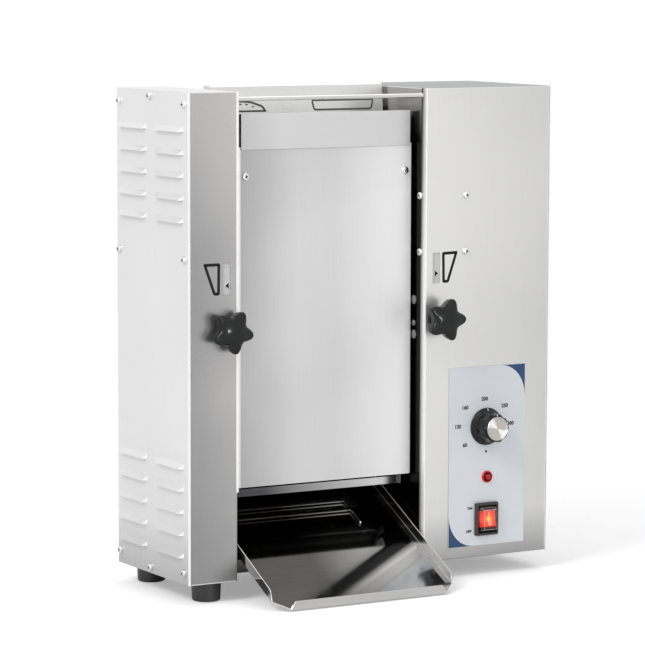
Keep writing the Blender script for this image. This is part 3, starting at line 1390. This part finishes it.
def tray():
    """The sloping tray: floor with cut corners, two side walls and a front lip."""
    outline = (
        (TRAY_LEFT, TRAY_REAR),
        (TRAY_LEFT, TRAY_SIDE_END),
        (TRAY_LEFT + TRAY_CORNER, TRAY_FRONT),
        (TRAY_RIGHT - TRAY_CORNER, TRAY_FRONT),
        (TRAY_RIGHT, TRAY_SIDE_END),
        (TRAY_RIGHT, TRAY_REAR),
    )
    shape = bmesh.new()
    corners = [shape.verts.new((x, y, tray_floor(y))) for x, y in outline]
    bmesh.ops.contextual_create(shape, geom=corners)
    walls = ((0, 1, TRAY_WALL), (2, 3, TRAY_LIP), (4, 5, TRAY_WALL))
    for first, second, rise in walls:
        edge = shape.edges.get((corners[first], corners[second]))
        made = bmesh.ops.extrude_edge_only(shape, edges=[edge])
        tops = [item for item in made["geom"] if isinstance(item, bmesh.types.BMVert)]
        bmesh.ops.translate(shape, vec=(0, 0, rise), verts=tops)
        for top in tops:
            if rise == TRAY_LIP:
                top.co.x += math.copysign(TRAY_LIP_RAKE, (TRAY_LEFT + TRAY_RIGHT) / 2 - top.co.x)
            elif top.co.y < 0:
                top.co.y += TRAY_WALL_RAKE
    inside = Vector(((TRAY_LEFT + TRAY_RIGHT) / 2, (TRAY_FRONT + TRAY_REAR) / 2, BODY_HEIGHT))
    shape.normal_update()
    for face in shape.faces:
        if face.normal.dot(inside - face.calc_center_median()) < 0:
            face.normal_flip()
    item = add_object("tray", mesh_of(shape, "tray"), (0, 0, 0), (0, 0, 0), BRIGHT_METAL)
    thicken(item, TRAY_SHEET, 1)
    solid = item.modifiers["Solidify"]
    solid.solidify_mode = "NON_MANIFOLD"
    solid.nonmanifold_thickness_mode = "CONSTRAINTS"


def sloped_sheet(name, front, rear, lift, flange, grow, colour_of):
    """A sheet parallel to the tray's floor with a flange along each chamber wall."""
    left = LEFT_WALL + GAP
    right = RIGHT_WALL - GAP
    level = tray_floor(front) + lift
    line = (
        (left, front, level + flange),
        (left, front, level),
        (right, front, level),
        (right, front, level + flange),
    )
    sweep = (0, rear - front, (rear - front) * math.tan(SLOPE))
    folded(name, line, sweep, SHEET, grow, colour_of)


def wire_guide():
    """The bent wire that lies on the tray's floor: two cross wires welded to a side wire."""
    lift = (TRAY_SHEET + GAP) / math.cos(SLOPE) + WIRE_LIFT

    def on_floor(across, depth):
        return (across, depth, tray_floor(depth) + lift)

    start = on_floor(WIRE_RIGHT, WIRE_REAR)
    end = on_floor(WIRE_RIGHT, WIRE_FRONT)
    item = rod("tray_wire_guide", start, end, WIRE_RADIUS, BRIGHT_METAL, steps=WIRE_SIDES)
    left_side = rod(
        "wire_left", on_floor(WIRE_LEFT, WIRE_REAR), on_floor(WIRE_LEFT, WIRE_FRONT), WIRE_RADIUS, steps=WIRE_SIDES
    )
    join(item, left_side)
    for number, depth in enumerate(WIRE_CROSS_PLACES):
        cross = rod(
            f"wire_cross_{number}",
            on_floor(WIRE_LEFT - WIRE_RADIUS, depth),
            on_floor(WIRE_RIGHT + WIRE_RADIUS, depth),
            WIRE_RADIUS,
            steps=WIRE_SIDES,
        )
        join(item, cross)
    for number, (across, depth) in enumerate(
        ((WIRE_LEFT, WIRE_FRONT), (WIRE_RIGHT, WIRE_FRONT), (WIRE_LEFT, WIRE_REAR), (WIRE_RIGHT, WIRE_REAR))
    ):
        top = on_floor(across, depth)
        foot = (across, depth, tray_floor(depth) + (TRAY_SHEET + GAP) / math.cos(SLOPE) + WIRE_RADIUS)
        leg = rod(f"wire_leg_{number}", top, foot, WIRE_RADIUS, steps=WIRE_SIDES)
        join(item, leg)


def tray_parts():
    """The tray, what it lies on, and the chute that feeds it from the rear gap."""
    tray()
    wire_guide()
    under = -GAP / math.cos(SLOPE)
    support_rear = PLATEN_MIDDLE + SUPPORT_REAR_DISTANCE
    sloped_sheet("tray_support", SUPPORT_FRONT, support_rear, under, -SUPPORT_FLANGE, -1, DARK_METAL)
    sloped_sheet("rear_chute", CHUTE_FRONT, CHUTE_REAR, CHUTE_RAISE, CHUTE_FLANGE, 1, METAL)


def feet():
    """The rubber feet."""
    height = FOOT_HEIGHT - GAP
    profile = (
        (0, height),
        (FOOT_TOP_RADIUS, height),
        (FOOT_BOTTOM_RADIUS, FOOT_EDGE),
        (FOOT_BOTTOM_RADIUS - FOOT_EDGE, 0),
        (FOOT_RECESS_RADIUS, 0),
        (FOOT_RECESS_RADIUS, FOOT_RECESS_DEPTH),
        (0, FOOT_RECESS_DEPTH),
    )
    for across, side in ((FOOT_LEFT, "left"), (FOOT_RIGHT, "right")):
        for depth, end in ((FOOT_FRONT, "front"), (FOOT_REAR, "rear")):
            place = (across, depth, -FOOT_HEIGHT)
            turned(f"{end}_{side}_foot", profile, place, "Z", RUBBER, steps=FINE_STEPS)


def cord_gland():
    """The gland that the mains cord comes out of, low on the back."""
    profile = (
        (GLAND_BORE_RADIUS, GLAND_FLANGE + GLAND_NOSE),
        (GLAND_TIP_RADIUS, GLAND_FLANGE + GLAND_NOSE),
        (GLAND_NOSE_RADIUS, GLAND_FLANGE),
        (GLAND_FLANGE_RADIUS, GLAND_FLANGE),
        (GLAND_FLANGE_RADIUS, 0),
        (GLAND_BARREL_RADIUS, 0),
        (GLAND_BARREL_RADIUS, -GLAND_BARREL),
        (GLAND_BORE_RADIUS, -GLAND_BARREL),
    )
    place = (BODY_WIDTH - GLAND_INSET, BODY_DEPTH + GAP, GLAND_HEIGHT)
    turned("cord_gland", profile, place, "Y", DARK_PLASTIC, ring=True)


left_housing()
right_housing()
side_cover("left_side_cover", 0, -1)
side_cover("right_side_cover", BODY_WIDTH, 1)
chamber_liner()
base_plate()
conveyor_covers()
bread_guides()
platen()
tie_rod()
conveyor("front", 1)
conveyor("rear", -1)
lower_bar()
gear_train()
adjuster("left", 1, LEFT_KNOB_PLACE, LEFT_SLOT_MIDDLE, LEFT_KNOB_TURN)
adjuster("right", -1, RIGHT_KNOB_PLACE, RIGHT_SLOT_MIDDLE, RIGHT_KNOB_TURN)
control_panel()
thermostat()
pilot_lamp()
power_switch()
tray_parts()
feet()
cord_gland()
